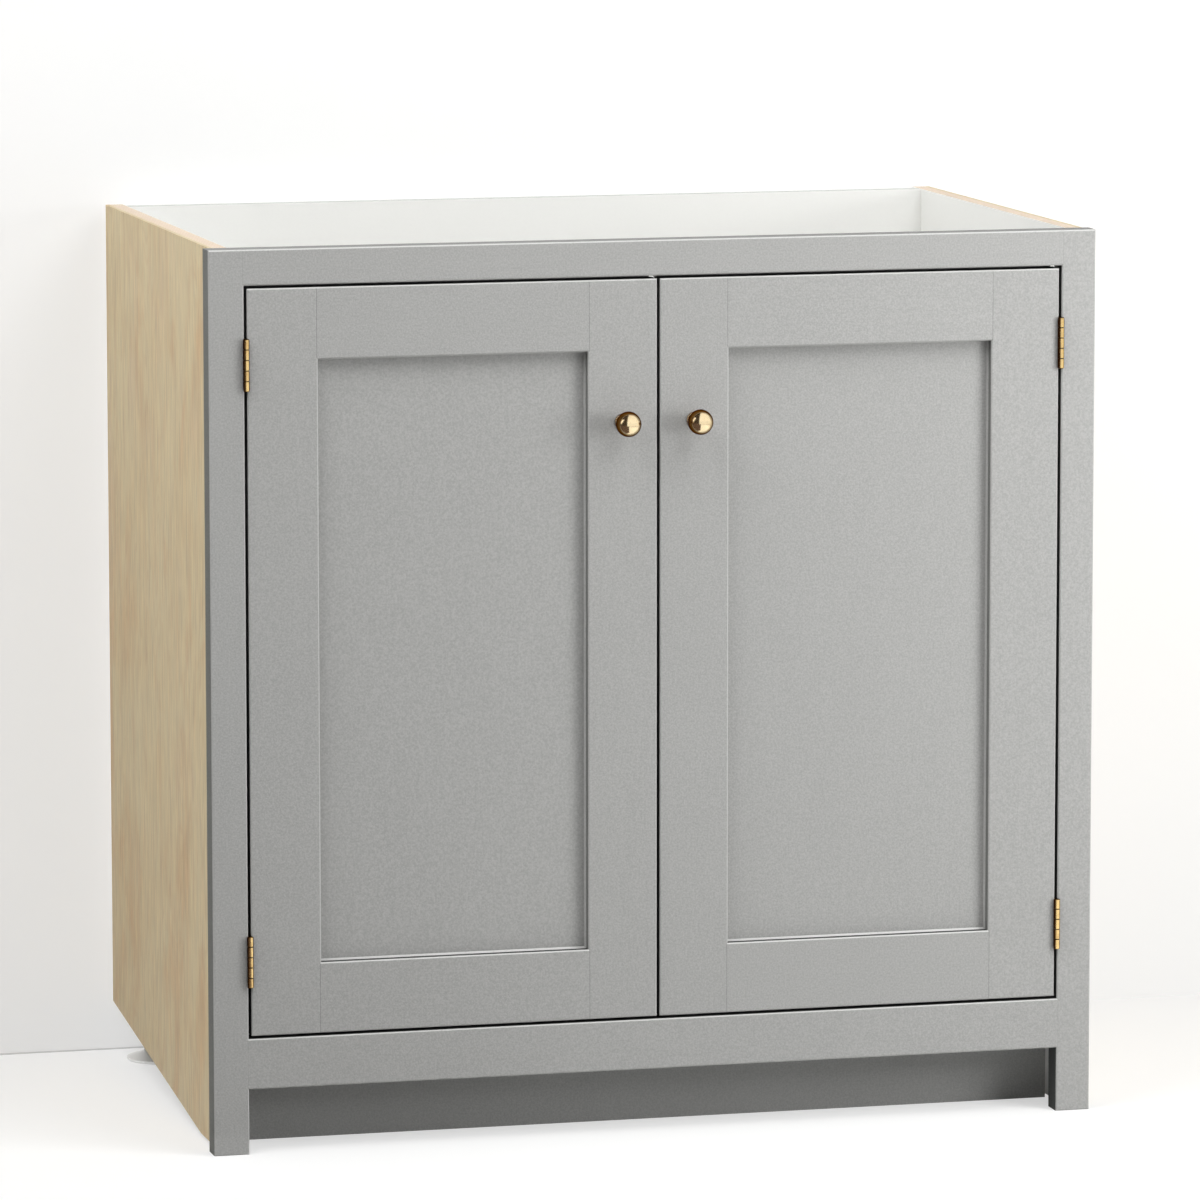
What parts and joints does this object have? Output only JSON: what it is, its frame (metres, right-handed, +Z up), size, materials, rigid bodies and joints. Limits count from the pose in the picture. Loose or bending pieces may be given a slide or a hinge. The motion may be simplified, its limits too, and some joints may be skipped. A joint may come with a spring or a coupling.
{
  "type": "double door base cabinet",
  "caption": "In-frame kitchen base cabinet with paired shaker doors on butt hinges, ball knobs, open top, shelf, recessed plinth and screw-adjusted rear feet.",
  "frame": {"origin": "centre of the bounding box's bottom face, on the floor under the middle of the cabinet", "axes": "+X to the right seen from the front, +Y from the doors towards the wall, +Z up"},
  "size_m": [0.9, 0.5806, 0.89],
  "materials": {
    "frame_paint": "pale grey eggshell paint over fine open grain",
    "door_paint": "pale grey eggshell paint over fine open grain",
    "maple_ply": "clear-lacquered maple veneer outside, white laminate inside, bare ply edges",
    "white_board": "white laminate",
    "softwood": "planed and unfinished",
    "brass": "polished and lacquered",
    "steel": "bright zinc plate",
    "grey_plastic": "moulded, fine texture",
    "white_plastic": "moulded, smooth"
  },
  "bodies": {
    "cabinet": {"frame_left_stile": "frame_paint", "frame_right_stile": "frame_paint", "frame_top_rail": "frame_paint", "frame_bottom_rail": "frame_paint", "left_side_panel": "maple_ply", "right_side_panel": "maple_ply", "base_panel": "white_board", "back_panel": "white_board", "shelf": "white_board", "shelf_pegs": "steel", "plinth_board": "frame_paint", "plinth_blocks": "softwood", "carcass_dowels": "softwood", "frame_dowels": "softwood", "left_leg_socket": "grey_plastic", "right_leg_socket": "grey_plastic", "leg_screws": "steel", "left_stop_lath": "frame_paint", "right_stop_lath": "frame_paint", "lath_screws": "steel", "left_catch": "white_plastic", "right_catch": "white_plastic", "catch_plates": "steel", "catch_screws": "steel", "left_upper_frame_leaf": "brass", "left_upper_pin": "brass", "left_lower_frame_leaf": "brass", "left_lower_pin": "brass", "right_upper_frame_leaf": "brass", "right_upper_pin": "brass", "right_lower_frame_leaf": "brass", "right_lower_pin": "brass", "frame_hinge_screws": "brass"},
    "left_door": {"left_upper_door_leaf": "brass", "left_lower_door_leaf": "brass", "left_hinge_screws": "brass", "left_door_hinge_stile": "door_paint", "left_door_meeting_stile": "door_paint", "left_door_top_rail": "door_paint", "left_door_bottom_rail": "door_paint", "left_door_panel": "door_paint", "left_knob": "brass", "left_knob_screw": "steel", "left_strike": "steel", "left_strike_screw": "steel"},
    "right_door": {"right_upper_door_leaf": "brass", "right_lower_door_leaf": "brass", "right_hinge_screws": "brass", "right_door_hinge_stile": "door_paint", "right_door_meeting_stile": "door_paint", "right_door_top_rail": "door_paint", "right_door_bottom_rail": "door_paint", "right_door_panel": "door_paint", "right_knob": "brass", "right_knob_screw": "steel", "right_strike": "steel", "right_strike_screw": "steel"},
    "left_rear_foot": {"left_foot": "grey_plastic"},
    "right_rear_foot": {"right_foot": "grey_plastic"}
  },
  "joints": [
    {"name": "left_door_hinge", "type": "hinge", "parent": "cabinet", "child": "left_door", "pos_m": [-0.4135, -0.25775, 0.485], "axis": [0, 0, -1], "range_deg": [0, 170]},
    {"name": "right_door_hinge", "type": "hinge", "parent": "cabinet", "child": "right_door", "pos_m": [0.4135, -0.25775, 0.485], "axis": [0, 0, 1], "range_deg": [0, 170]},
    {"name": "left_foot_screw", "type": "slide", "parent": "cabinet", "child": "left_rear_foot", "axis": [0, 0, -1], "range_m": [0, 0.025]},
    {"name": "right_foot_screw", "type": "slide", "parent": "cabinet", "child": "right_rear_foot", "axis": [0, 0, -1], "range_m": [0, 0.025]}
  ]
}
